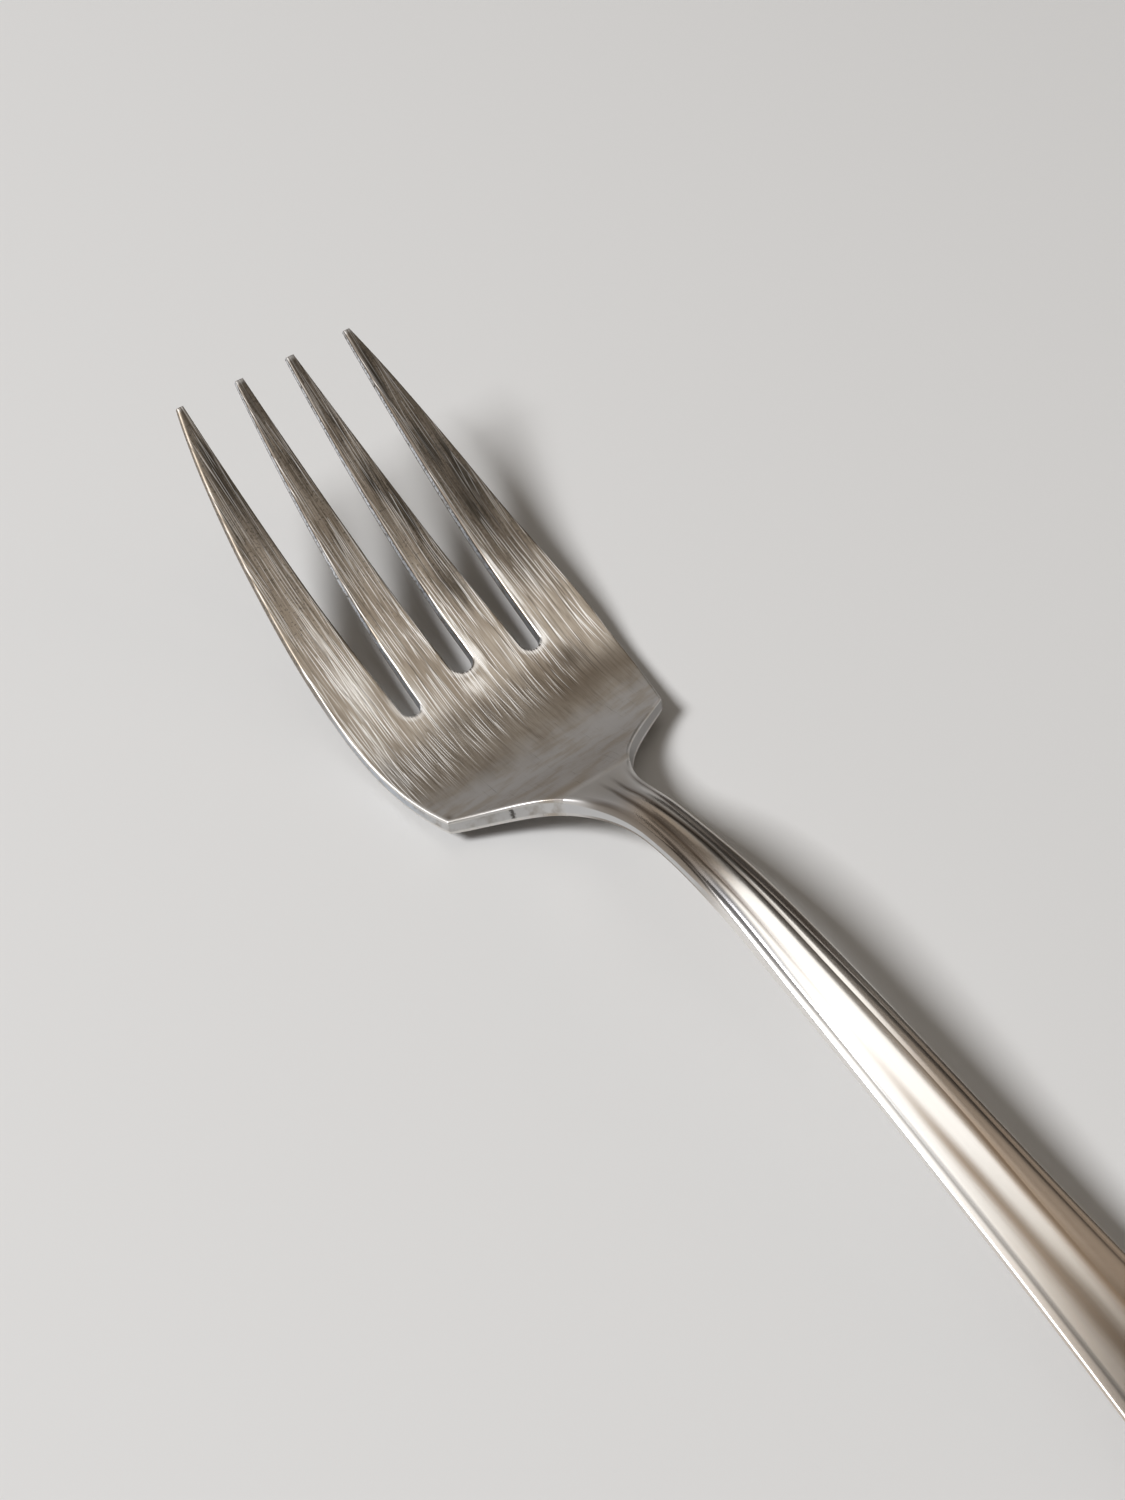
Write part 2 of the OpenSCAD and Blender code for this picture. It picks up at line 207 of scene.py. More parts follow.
# A point beside and above the underside's curve: across in X, and the height square to the curve.
def placeOnFork(station, across, height):
    station, across, height = np.broadcast_arrays(station, across, height)
    lean = np.arctan(slopeOf(undersideHeight, station))
    y = station + stationShift - height * np.sin(lean)
    z = undersideHeight(station) + height * np.cos(lean)
    return np.stack([across, y, z], axis=-1) * millimetre


# Half width of the handle: its outline, drawn in as an ellipse over the round end.
def stemHalf(station):
    endRound = handleShape["endRound"]
    into = np.clip(endRound - forkShape["handleReach"] - station, 0, None) / endRound
    return throughStations(handleShape["outline"], station) / 2 * np.sqrt(np.clip(1 - into ** 2, 0, None))


# Half width of the fork: the head's outline ahead of the shoulders, and behind them the stem with a flare
# that dies away from the shoulder corners.
def forkHalf(station):
    flare = (headShape["shoulderWidth"] - handleShape["neckWidth"]) / 2
    back = np.maximum(-station, 0) / headShape["shoulderSweep"]
    behind = stemHalf(station) + flare * np.exp(-back ** headShape["shoulderBow"])
    return np.where(station >= 0, throughStations(headShape["outline"], np.maximum(station, 0)) / 2, behind)


# Half width of a slot: its gap, drawn in as a half circle at the root.
def slotHalf(gaps, root, station):
    radius = gaps[0][1] / 2
    into = np.clip((station - root) / radius, 0, 1)
    return throughStations(gaps, np.maximum(station, root)) / 2 * np.sqrt(1 - (1 - into) ** 2)


# Middle line of the outer slots: behind the root it follows the outline in proportion.
def slotMiddle(station):
    root = headShape["outerRoot"]
    ahead = throughStations(headShape["outerSlotX"], np.maximum(station, root))
    behind = headShape["outerSlotX"][0][1] * forkHalf(station) / forkHalf(np.array(root))
    return np.where(station >= root, ahead, behind)


# Left and right edge of each of the four tines, and of the parts of the bowl that run into them.
def tineEdges(station):
    outer = forkHalf(station)
    slot = slotMiddle(station)
    gap = slotHalf(headShape["outerGap"], headShape["outerRoot"], station)
    middle = slotHalf(headShape["middleGap"], headShape["middleRoot"], station)
    return [(-outer, -slot - gap), (-slot + gap, -middle), (middle, slot - gap), (slot + gap, outer)]


# Stations from which these edges are free: the slots' roots, and the joint for the rim.
def tineRoots():
    rim, outer, middle = -forkShape["jointBack"], headShape["outerRoot"], headShape["middleRoot"]
    return [(rim, outer), (outer, middle), (middle, outer), (outer, rim)]


# Stations round a slot's root, at even steps of its quarter circle.
def rootStations(root, gaps, steps):
    return root + gaps[0][1] / 2 * (1 - np.cos(np.linspace(0, np.pi / 2, steps)))


# Every free edge of the head in the plan, as short straight lines: the rim, the slots and the tips.
def headEdgeLines():
    tip, steps = forkShape["tineReach"], headShape["edgeSteps"]
    stations = np.unique(np.concatenate([
        np.linspace(-forkShape["jointBack"], 0, steps["sweep"]), np.linspace(0, tip, steps["head"]),
        rootStations(headShape["outerRoot"], headShape["outerGap"], steps["root"]),
        rootStations(headShape["middleRoot"], headShape["middleGap"], steps["root"])]))
    starts, stops = [], []
    for edges, roots in zip(tineEdges(stations), tineRoots()):
        for side, root in zip(edges, roots):
            free = stations >= root
            chain = np.stack([side[free], stations[free]], axis=1)
            starts.append(chain[:-1])
            stops.append(chain[1:])
        left, right = edges
        starts.append(np.array([[left[-1], tip]]))
        stops.append(np.array([[right[-1], tip]]))
    return np.concatenate(starts), np.concatenate(stops)


# Distance in the plan from points to the nearest of a chain of short straight lines.
def distanceToLines(points, starts, stops):
    along = stops - starts
    lengthSquared = (along ** 2).sum(1)
    best = np.empty(len(points))
    for first in range(0, len(points), pointsAtOnce):
        some = slice(first, first + pointsAtOnce)
        part = points[some, None, :] - starts[None]
        share = np.clip((part * along).sum(2) / lengthSquared, 0, 1)
        gap = part - share[..., None] * along
        best[some] = np.sqrt((gap ** 2).sum(2).min(1))
    return best


# Soft oval spots laid over each other: each is a bell curve across and along, and takes its share of
# what is left.
def spotted(across, along, spots):
    x, y, wide, long, strength = np.array(spots, float).T
    bell = np.exp(-((across[..., None] - x) / wide) ** 2 - ((along[..., None] - y) / long) ** 2)
    return 1 - np.prod(1 - strength * bell, axis=-1)


# Four-sided faces of a grid of points, numbered from first on.
def gridFaces(rows, columns, first, flip):
    number = first + np.arange(rows * columns).reshape(rows, columns)
    corners = [number[:-1, :-1], number[:-1, 1:], number[1:, 1:], number[1:, :-1]]
    faces = np.stack(corners, axis=-1).reshape(-1, 4)
    return faces[:, ::-1] if flip else faces


# One closed mesh from grids of points. Each grid has its points, its attributes and its turn, and points
# that coincide become one.
def meshFromGrids(name, grids):
    points, faces, values, first = [], [], {}, 0
    for grid in grids:
        rows, columns = grid["points"].shape[:2]
        points.append(grid["points"].reshape(-1, 3))
        faces.append(gridFaces(rows, columns, first, grid["flip"]))
        for key, value in grid["values"].items():
            values.setdefault(key, []).append(np.broadcast_to(value, (rows, columns)).reshape(-1))
        first += rows * columns
    points = np.concatenate(points)
    faces = np.concatenate(faces)
    weld = np.round(points / weldSize).astype(np.int64)
    _, keep, number = np.unique(weld, axis=0, return_index=True, return_inverse=True)
    faces = number.reshape(-1)[faces]
    mesh = bpy.data.meshes.new(name)
    mesh.from_pydata(points[keep].tolist(), [], faces.tolist())
    for key, value in values.items():
        layer = mesh.attributes.new(key, "FLOAT", "POINT")
        layer.data.foreach_set("value", np.concatenate(value)[keep].astype(np.float32))
    mesh.polygons.foreach_set("use_smooth", np.full(len(mesh.polygons), True))
    mesh.set_sharp_from_angle(angle=math.radians(sharpAngle))
    mesh.update()
    piece = bpy.data.objects.new(name, mesh)
    bpy.context.collection.objects.link(piece)
    print(name, len(mesh.vertices), "points", len(mesh.polygons), "faces")
    return piece


# Top, back, both walls and the two ends of one strip of plate: heights are square to the underside's curve,
# and a wall has only the rows where its side is free. The attribute wall is 0 on top, 1 on walls and ends,
# and 2 on the back.
def plateGrids(station, across, low, high, values, wallRows, leftFree, rightFree):
    rows = station[:, None]
    share = np.linspace(0, 1, wallRows)
    grids = [
        {"points": placeOnFork(rows, across, high), "flip": False, "values": {**values, "wall": 0.0}},
        {"points": placeOnFork(rows, across, low), "flip": True, "values": {**values, "wall": 2.0}},
    ]
    for column, free, flip in ((0, leftFree, False), (-1, rightFree, True)):
        bottom, top = low[free, column][:, None], high[free, column][:, None]
        points = placeOnFork(rows[free], across[free, column][:, None], bottom + (top - bottom) * share)
        sideValues = {key: value[free, column][:, None] for key, value in values.items()}
        grids.append({"points": points, "flip": flip, "values": {**sideValues, "wall": 1.0}})
    for row, flip in ((-1, True), (0, False)):
        height = low[row] + (high[row] - low[row]) * share[:, None]
        points = placeOnFork(station[row], across[row][None], height)
        endValues = {key: value[row][None] for key, value in values.items()}
        grids.append({"points": points, "flip": flip, "values": {**endValues, "wall": 1.0}})
    return grids


# Head: top and back follow one dished surface, their edges fall away as quarter ellipses, and straight walls
# join them. Columns crowd towards each tine's edges, and rows towards the tips, the slots' roots and the
# shoulders.
def makeHead():
    tip, joint = forkShape["tineReach"], forkShape["jointBack"]
    outerRoot, middleRoot = headShape["outerRoot"], headShape["middleRoot"]
    count, near, ahead = headShape["rows"], np.array(headShape["nearRows"]), headShape["cornerReach"]
    station = np.concatenate([
        -joint * np.linspace(1, 0, count["sweep"]) ** headShape["sweepCrowd"],
        np.linspace(0, 1, count["corner"]) ** headShape["cornerCrowd"] * ahead,
        np.linspace(ahead, outerRoot - near[-1], count["bowl"]),
        outerRoot - near, middleRoot - near,
        rootStations(outerRoot, headShape["outerGap"], count["root"]),
        rootStations(middleRoot, headShape["middleGap"], count["root"]),
        np.linspace(middleRoot + headShape["middleGap"][0][1] / 2, tip - near[-1], count["tines"]),
        tip - near, [tip]])
    station = np.unique(np.round(station, 4))
    atRoot = np.isin(station, np.round([outerRoot, middleRoot], 4))
    close = np.diff(station, prepend=-np.inf) < headShape["closestRows"]
    station = station[~close | atRoot]
    crowd = crowdedShares(headShape["tineColumns"])
    starts, stops = headEdgeLines()
    thick = throughStations(forkShape["thickness"], station)[:, None]
    dish = throughStations(headShape["dish"], station)[:, None]
    grids = []
    for (left, right), roots in zip(tineEdges(station), tineRoots()):
        across = left[:, None] + (right - left)[:, None] * crowd
        along = np.broadcast_to(station[:, None], across.shape)
        plan = np.stack([across, along], axis=-1).reshape(-1, 2)
        rim = distanceToLines(plan, starts, stops).reshape(across.shape)
        rise = dish * (2 * across / headShape["bowlWidth"]) ** 2
        low = rise + edgeFall(rim, *headShape["underRound"])
        high = rise + thick - edgeFall(rim, *headShape["topRound"])
        values = {"across": across, "along": along, "rim": rim}
        values.update({name: spotted(across, along, spots) for name, spots in headShape["spots"].items()})
        leftFree, rightFree = [station >= root - rowSlack for root in roots]
        grids += plateGrids(station, across, low, high, values, headShape["wallRows"], leftFree, rightFree)
    return meshFromGrids("worn_head", grids)


# Handle: a crowned bar with five reeds, which fan out behind the neck. Each reed is a low parabola whose
# flanks meet the grooves at the same slope, so wide reeds stand higher. The back is slightly round, and both
# faces fall away at the edges.
def makeHandle():
    reach, joint, endRound = forkShape["handleReach"], forkShape["jointBack"], handleShape["endRound"]
    count, columns = handleShape["rows"], handleShape["reedColumns"]
    neck = -joint - np.linspace(0, 1, count["neck"]) ** handleShape["neckCrowd"] * handleShape["neckReach"]
    grip = np.linspace(neck[-1], -reach + endRound, count["grip"])
    turn = np.radians(np.linspace(0, handleShape["endTurn"], count["end"]))
    end = -reach + endRound - endRound * np.sin(turn)
    station = np.unique(np.round(np.concatenate([neck, grip, end]), 4))
    rows = station[:, None]
    names = ("leftOuter", "leftInner", "rightInner", "rightOuter")
    grooves = [throughStations(handleShape[name], rows) for name in names]
    lines = [-np.ones_like(rows), *grooves, np.ones_like(rows)]
    spans = list(zip(lines[:-1], lines[1:]))
    crowd = crowdedShares(columns + 1)
    u = np.concatenate([first + (last - first) * crowd[:-1] for first, last in spans] + [lines[-1]], axis=1)
    ridge = np.concatenate([np.tile(2 * crowd[:-1] - 1, len(spans)), [1.0]])
    half = forkHalf(rows)
    across = u * half
    runIn = smoothStep(-joint, -joint - handleShape["grooveRunIn"], rows)
    stop = -reach + handleShape["grooveStop"]
    strength = runIn * smoothStep(stop, stop + handleShape["grooveRunOut"], rows)
    widths = [(last - first) * half for first, last in spans]
    wide = np.concatenate([np.repeat(width, columns, axis=1) for width in widths] + widths[-1:], axis=1)
    reed = throughStations(handleShape["reedSlope"], rows) * wide / 4 * (1 - ridge ** 2)
    swell = smoothStep(-joint, -joint - handleShape["crownRunIn"], rows)
    swell = swell * smoothStep(-reach, -reach + handleShape["palmBack"], rows)
    rim = (half - np.abs(across)) / np.sqrt(1 + slopeOf(forkHalf, rows) ** 2)
    topRound = [throughStations(handleShape[name], rows) for name in ("roundWidth", "roundDepth")]
    low = handleShape["backRound"] * swell * u ** 2 + edgeFall(rim, *handleShape["edgeRound"])
    high = (throughStations(forkShape["thickness"], rows) + handleShape["crown"] * swell * (1 - u ** 2)
            - strength * (handleShape["grooveDepth"] - reed) - edgeFall(rim, *topRound))
    leftOuter, leftInner, rightInner, rightOuter = grooves
    onLeft = 2 * u < leftInner + rightInner
    values = {"across": across, "along": np.broadcast_to(rows, across.shape), "rim": rim, "share": u,
              "innerGroove": np.where(onLeft, leftInner - u, u - rightInner) * half,
              "outerGroove": np.where(onLeft, leftOuter - u, u - rightOuter) * half,
              "fluted": np.broadcast_to(strength, across.shape)}
    everyRow = np.full(len(station), True)
    grids = plateGrids(station, across, low, high, values, handleShape["wallRows"], everyRow, everyRow)
    return meshFromGrids("reeded_handle", grids)


# A value inside a material: a socket whose arithmetic adds Math nodes.
class Value:
    def __init__(self, finish, socket):
        self.finish = finish
        self.socket = socket

    def math(self, operation, first, second=None):
        sockets = {0: first} if second is None else {0: first, 1: second}
        return self.finish.node("ShaderNodeMath", {"operation": operation}, sockets)

    def __add__(self, other): return self.math("ADD", self, other)
    def __radd__(self, other): return self.math("ADD", other, self)
    def __sub__(self, other): return self.math("SUBTRACT", self, other)
    def __rsub__(self, other): return self.math("SUBTRACT", other, self)
    def __mul__(self, other): return self.math("MULTIPLY", self, other)
    def __rmul__(self, other): return self.math("MULTIPLY", other, self)
    def __abs__(self): return self.math("ABSOLUTE", self)


# A material and its settings, with the nodes that its colours are made of.
class Finish:
    def __init__(self, name, settings):
        self.settings = settings
        self.material = bpy.data.materials.new(name)
        self.material.use_nodes = True
        self.tree = self.material.node_tree
        self.shader = self.tree.nodes["Principled BSDF"]

    # Any node: its type, its settings, then values or links for its sockets.
    def node(self, kind, settings, sockets, output=0):
        made = self.tree.nodes.new(kind)
        for key, value in settings.items():
            setattr(made, key, value)
        for key, value in sockets.items():
            self.feed(made.inputs[key], value)
        return Value(self, made.outputs[output])

    def feed(self, socket, value):
        if isinstance(value, Value):
            self.tree.links.new(value.socket, socket)
        else:
            socket.default_value = value

    def attributes(self, *names):
        return [self.node("ShaderNodeAttribute", {"attribute_name": name}, {}, "Fac") for name in names]

    def point(self, x, y, z=0.0):
        return self.node("ShaderNodeCombineXYZ", {}, {"X": x, "Y": y, "Z": z})

    def noise(self, where, scale, detail, rough):
        sockets = {"Vector": where, "Scale": scale, "Detail": detail, "Roughness": rough}
        return self.node("ShaderNodeTexNoise", {}, sockets, "Fac")

    # Noise from the settings, stretched along the fork: its fineness across and along is per millimetre.
    def stretched(self, name, across, along):
        fineAcross, fineAlong, start, detail, rough = self.settings["noises"][name]
        return self.noise(self.point(across * fineAcross, along * fineAlong, start), 1.0, detail, rough)

    def split(self, vector, names):
        kind = "ShaderNodeSeparateColor" if "Red" in names else "ShaderNodeSeparateXYZ"
        made = self.node(kind, {}, {0: vector}).socket.node
        return [Value(self, made.outputs[name]) for name in names]

    # Single scratches: every cell of a stretched cell pattern holds one straight line of its own lean and
    # length. Cells are counted per millimetre across and along, lean is the largest slant, width is in
    # millimetres, and share is how many cells have a line.
    def scratches(self, across, along, cells, lean, width, share, start):
        where = self.point(across * cells[0] + start, along * cells[1] + start * 0.37)
        cell = self.node("ShaderNodeTexVoronoi", {"voronoi_dimensions": "2D"},
                         {"Vector": where, "Scale": 1.0, "Randomness": 1.0}, "Position")
        colour = Value(self, cell.socket.node.outputs["Color"])
        local = self.node("ShaderNodeVectorMath", {"operation": "SUBTRACT"}, {0: where, 1: cell})
        x, y = self.split(local, ("X", "Y"))
        first, second, third = self.split(colour, ("Red", "Green", "Blue"))
        off = abs(x * (1 / cells[0]) - (first - 0.5) * y * (2 * lean / cells[1]))
        line = self.ease(off, width, width * 0.25) * self.ease(abs(y), 0.5, 0.3 - third * 0.2)
        return line * self.ease(second, 1 - share, 1 - share * 0.4)

    # Rises smoothly from 0 at start to 1 at stop, and start may be the larger.
    def ease(self, value, start, stop):
        return self.node("ShaderNodeMapRange", {"interpolation_type": "SMOOTHSTEP"},
                         {"Value": value, "From Min": start, "From Max": stop})

    # The stretches of the settings, each from 0 to 1 along the fork.
    def stretches(self, along):
        return {name: self.ease(along, *span) for name, span in self.settings["stretches"].items()}

    # Walls and ends, apart from top and back.
    def onWall(self, wall):
        return self.ease(abs(wall - 1.0), 0.7, 0.2)

    def larger(self, first, second):
        return self.node("ShaderNodeMath", {"operation": "MAXIMUM"}, {0: first, 1: second})

    def blend(self, share, first, second):
        return self.node("ShaderNodeMix", {"data_type": "RGBA"}, {"Factor": share, 6: first, 7: second}, 2)

    # A colour of the settings laid over another by a share.
    def paint(self, colour, name, share):
        return self.blend(share, colour, self.settings[name])


def tint(red, green, blue):
    return (red, green, blue, 1.0)


wornSilver = {
    "bright": tint(0.86, 0.84, 0.81),
    "satin": tint(0.56, 0.545, 0.535),      # the smooth grey of the shoulders and the neck
    "warm": tint(0.44, 0.385, 0.32),        # the bowl
    "brown": tint(0.21, 0.165, 0.12),
    "aged": tint(0.11, 0.09, 0.07),
    "tarnish": tint(0.045, 0.038, 0.030),
    # bluish: a painted reflection of the window light on the walls
    "wall": tint(0.53, 0.56, 0.60),
    "shoulder": tint(0.60, 0.595, 0.588),   # the walls behind the shoulder corners, and the tips
    "shaded": tint(0.30, 0.29, 0.28),       # these walls on the right
    "dull": tint(0.30, 0.26, 0.215),        # scuffs on the walls, and the left tine's outer side
    "edge": tint(0.15, 0.125, 0.10),        # the tines' top edges
    "rubbedEdge": tint(0.42, 0.36, 0.29),   # the outermost one on the left
    "tineWall": tint(0.76, 0.78, 0.81),     # the tines' sides towards the tips, paler and bluish as a painted reflection of the window light
    "scratch": tint(0.95, 0.93, 0.90),
    "roughness": 0.36,
    "metal": 0.9,
    "bumpStrength": 0.25,
    "bumpDepth": 0.00004,                   # metres
    # fineness across and along, start, detail, roughness
    "noises": {
        "brushed": (8.0, 0.25, 0.0, 4.0, 0.65),
        "lines": (2.6, 0.11, 3.0, 5.0, 0.7),
        "clouds": (0.16, 0.10, 7.0, 3.0, 0.55),
        "mottled": (2.4, 0.16, 13.0, 5.0, 0.7),
        "brushing": (6.5, 0.07, 1.0, 1.0, 0.4),
    },
    "grainScale": 2600.0,
    "scuffScale": 420.0,
    "brushingSlant": 0.02,
    "scratches": {
        "straight": {"cells": (2.4, 0.085), "lean": 0.03, "width": 0.085, "share": 0.6, "start": 11.0},
        "leaning": {"cells": (1.8, 0.07), "lean": 0.12, "width": 0.085, "share": 0.5, "start": 37.0},
        "counter": {"cells": (2.8, 0.12), "lean": 0.06, "width": 0.075, "share": 0.55, "start": 71.0},
        "scored": {"cells": (1.9, 0.09), "lean": 0.05, "width": 0.13, "share": 0.6, "start": 53.0},
    },
    # stations between which a part of the finish comes in
    "stretches": {
        "tines": (24.0, 38.0),
        "creaseFront": (-5.8, -7.2),        # a warm line across the neck
        "creaseBack": (-8.2, -7.5),
        "joint": (-7.6, -8.8),
        "rootsBack": (16.5, 18.5),          # the bowl round the slots' roots
        "rootsFront": (25.0, 21.5),
        "dulled": (28.0, 38.0),             # dull top edges
        "outside": (20.0, 30.0),            # the left tine's outer side
        "tip": (68.8, 69.3),
        "corner": (26.0, 2.0),              # the painted rim highlight grows broader towards the left corner
        "rim": (30.0, 22.0),                # the painted highlight along the left rim
        "scored": (8.0, 14.0),              # dark scratches
        "bowl": (44.0, 26.0),               # more bright scratches than on the tines
        "pitted": (20.0, 34.0),             # specks on the walls
        "tineWall": (34.0, 46.0),
        "shoulder": (8.0, 0.0),
        "shaded": (2.0, 0.0),
    },
    "heel": (9.0, 1.0),                     # with a wandering border
    "scratched": (7.5, 15.0),
    "nickStation": -4.0,                    # a nick in the left shoulder's wall
}


# Worn silver of the head: warm and finely scratched lengthwise on the bowl, dark stains along the tines,
# smooth grey at the shoulders, brown round the slots' roots and bright where it is rubbed.
def makeWornSilver():
    finish = Finish("worn_silver", wornSilver)
    across, along, rim, wall = finish.attributes("across", "along", "rim", "wall")
    stained, aged, browned, rubbed = finish.attributes("stained", "aged", "browned", "rubbed")
    at = finish.stretches(along)
    place = finish.node("ShaderNodeTexCoord", {}, {}, "Object")
    brushed, lines, clouds, mottled = [finish.stretched(name, across, along)
                                       for name in ("brushed", "lines", "clouds", "mottled")]
    wiping = finish.point(across * 0.16 + along * 0.05, along * 0.6 - across * 0.06, 9.0)    # slantwise
    wiped = finish.noise(wiping, 1.0, 4.0, 0.6)
    grain = finish.noise(place, wornSilver["grainScale"], 3.0, 0.6)
    scuffs = finish.noise(place, wornSilver["scuffScale"], 3.0, 0.6)

    # warm with brown streaks, darker and specked towards the tips
    colour = wornSilver["warm"]
    colour = finish.paint(colour, "brown", finish.ease(clouds + (lines - 0.5) * 0.6, 0.3, 0.8) * 0.75)
    colour = finish.paint(colour, "brown", at["tines"] * lines * 0.9)
    colour = finish.paint(colour, "aged", finish.ease(aged + (lines - 0.5) * 0.8, 0.05, 0.95))
    colour = finish.paint(colour, "aged", finish.ease(mottled, 0.48, 0.7) * (0.4 + at["tines"] * 0.25))
    colour = finish.paint(colour, "bright", finish.ease(mottled, 0.46, 0.26) * 0.15)
    specks = finish.ease(grain + aged * 0.06, 0.54, 0.68) * at["tines"]
    colour = finish.paint(colour, "tarnish", specks * 0.55)

    # the smooth heel with its smudges, and the crease before the joint
    heel = finish.ease(along + (clouds - 0.5) * 9.0, *wornSilver["heel"])
    smudged = finish.paint(wornSilver["satin"], "warm", finish.ease(wiped, 0.42, 0.68) * 0.7)
    colour = finish.blend(heel, colour, smudged)
    crease = at["creaseFront"] * at["creaseBack"] * finish.ease(across, 3.0, -3.0)
    colour = finish.paint(colour, "warm", crease * 0.9)
    colour = finish.paint(colour, "bright", at["joint"] * 0.4)

    # brown behind the slots, and dark stains along the tines
    colour = finish.paint(colour, "brown", browned * (0.3 + lines * 0.6 + wiped * 0.5))
    dark = finish.ease(stained + (lines - 0.5) * 2.0 + (brushed - 0.5) * 1.6, 0.2, 0.9)
    colour = finish.paint(colour, "tarnish", dark * 0.94)

    # a bright halo with a dark edge round the slots' roots, and the rubbed places
    around = at["rootsBack"] * at["rootsFront"] * finish.ease(abs(across), 15.0, 13.0)
    halo = finish.ease(rim + (brushed - 0.5) * 1.2, 1.1, 0.5) * around
    colour = finish.paint(colour, "bright", halo * 0.55)
    colour = finish.paint(colour, "aged", finish.ease(rim + (clouds - 0.5) * 0.2, 0.32, 0.12) * around * 0.85)
    worn = finish.ease(rubbed + (lines - 0.5) * 1.6 + (brushed - 0.5) * 1.1, 0.35, 1.0)
    colour = finish.paint(colour, "bright", worn * 0.85)

    # top edges: dull along the tines, light at the tips, and a painted highlight along the left rim
    dulled = finish.ease(rim, 0.5, 0.15) * at["dulled"]
    outside = finish.ease(across, -13.0, -14.0) * at["outside"]
    colour = finish.blend(dulled * 0.9, colour, finish.paint(wornSilver["edge"], "rubbedEdge", outside))
    colour = finish.paint(colour, "shoulder", at["tip"] * 0.45)
    # painted highlight: the left rim is made bright where it faces the window, broader towards the left corner
    edge = finish.ease(rim, at["corner"] * 0.3 + 0.3, 0.1) * at["rim"] * finish.ease(across, -6.0, -10.0)
    colour = finish.paint(colour, "bright", edge * 0.75)

    # scratches, on the top only
    top = finish.ease(wall, 0.5, 0.1)
    brushing = finish.stretched("brushing", across + along * wornSilver["brushingSlant"], along)
    brushing = finish.ease(brushing, 0.6, 0.72)
    straight, leaning, counter, scored = [finish.scratches(across, along, **layer)
                                          for layer in wornSilver["scratches"].values()]
    colour = finish.paint(colour, "aged", scored * top * at["scored"] * 0.7)
    low = finish.ease(along - across * 0.22 + (clouds - 0.5) * 6.0, *wornSilver["scratched"])
    where = low * (0.45 + at["bowl"] * 0.55) * (1.0 - aged * 0.6)
    marks = (brushing * 0.2 + straight + leaning + counter) * where * top
    marks = finish.node("ShaderNodeClamp", {}, {"Value": marks})
    colour = finish.paint(colour, "scratch", marks)

    # walls: bluish and paler on the tines as a painted reflection of the window light, darker behind the right
    # shoulder as painted shade, scuffed and specked, with a nick in the left shoulder
    pitted = finish.ease(grain, 0.52, 0.62) * at["pitted"]
    nickOff = abs(along - wornSilver["nickStation"] + (grain - 0.5) * 0.5)
    nick = finish.ease(nickOff, 0.24, 0.05) * finish.ease(across, -8.0, -9.0)
    sides = finish.paint(wornSilver["wall"], "tineWall", at["tineWall"])
    sides = finish.paint(sides, "shoulder", at["shoulder"])
    sides = finish.paint(sides, "dull", finish.ease(scuffs, 0.45, 0.75) * 0.7)
    sides = finish.paint(sides, "shaded", finish.ease(across, 3.0, 6.0) * at["shaded"])
    sides = finish.paint(sides, "dull", outside)
    sides = finish.paint(sides, "tarnish", finish.larger(pitted, nick) * 0.85)
    colour = finish.blend(finish.onWall(wall), colour, sides)

    rough = wornSilver["roughness"] + (brushed - 0.5) * 0.3 - worn * 0.1 + edge * 0.1 + dulled * 0.2
    bump = {"Strength": wornSilver["bumpStrength"], "Distance": wornSilver["bumpDepth"],
            "Height": brushed * 0.5 + lines * 0.8}
    finish.feed(finish.shader.inputs["Base Color"], colour)
    finish.feed(finish.shader.inputs["Roughness"], rough)
    finish.feed(finish.shader.inputs["Metallic"], wornSilver["metal"] - marks * 0.7)
    finish.feed(finish.shader.inputs["Normal"], finish.node("ShaderNodeBump", {}, bump))
    return finish.material


polishedSilver = {
    "bright": tint(0.93, 0.91, 0.88),
    "satin": tint(0.56, 0.545, 0.535),      # as on the head
    "lit": tint(0.86, 0.84, 0.81),          # the neck close behind the joint
    "shade": tint(0.54, 0.515, 0.48),       # the neck behind it
    "rusty": tint(0.60, 0.50, 0.405),       # and its left half
    "warm": tint(0.72, 0.65, 0.575),        # towards the end
    "brown": tint(0.30, 0.225, 0.16),       # the hollows of the inner grooves, and the neck's right reed
    "beige": tint(0.38, 0.325, 0.275),      # the right reeds towards the end
    "dark": tint(0.10, 0.068, 0.045),       # the flutes of the neck, and the painted shade line of the right outer groove
    "grooveShade": tint(0.095, 0.095, 0.10),      # painted shade along the left outer groove
    "neckEdge": tint(0.24, 0.205, 0.17),    # the neck's left edge
    "wall": tint(0.62, 0.62, 0.62),
    "roughness": 0.23,
    "metal": 0.97,
    # fineness across and along, start, detail, roughness
    "noises": {
        "brushed": (4.0, 0.12, 0.0, 3.0, 0.6),
        "clouds": (0.3, 0.06, 5.0, 3.0, 0.55),
    },
    # stations between which a part of the finish comes in
    "stretches": {
        "lit": (-17.0, -8.8),
        "behind": (-54.0, -78.0),           # broad brown hollows instead of dark flutes
        "beige": (-46.0, -70.0),
        "fluted": (-56.0, -34.0),
        "leftFlute": (-32.0, -25.0),        # a stronger left outer flute
        "shadedBack": (-54.0, -42.0),       # the neck's right reed
        "shadedFront": (-15.0, -20.0),
        "ahead": (-64.0, -38.0),            # a wider and darker painted shade line in the outer grooves
        "lined": (-24.0, -36.0),
        "neckEdgeBack": (-36.0, -28.0),
        "neckEdgeFront": (-10.0, -14.0),
        "wall": (-38.0, -30.0),
    },
    # the same with wandering borders
    "neck": (-38.0, -29.0),
    "joint": (-23.0, -14.0),
    "far": (-72.0, -102.0),
}


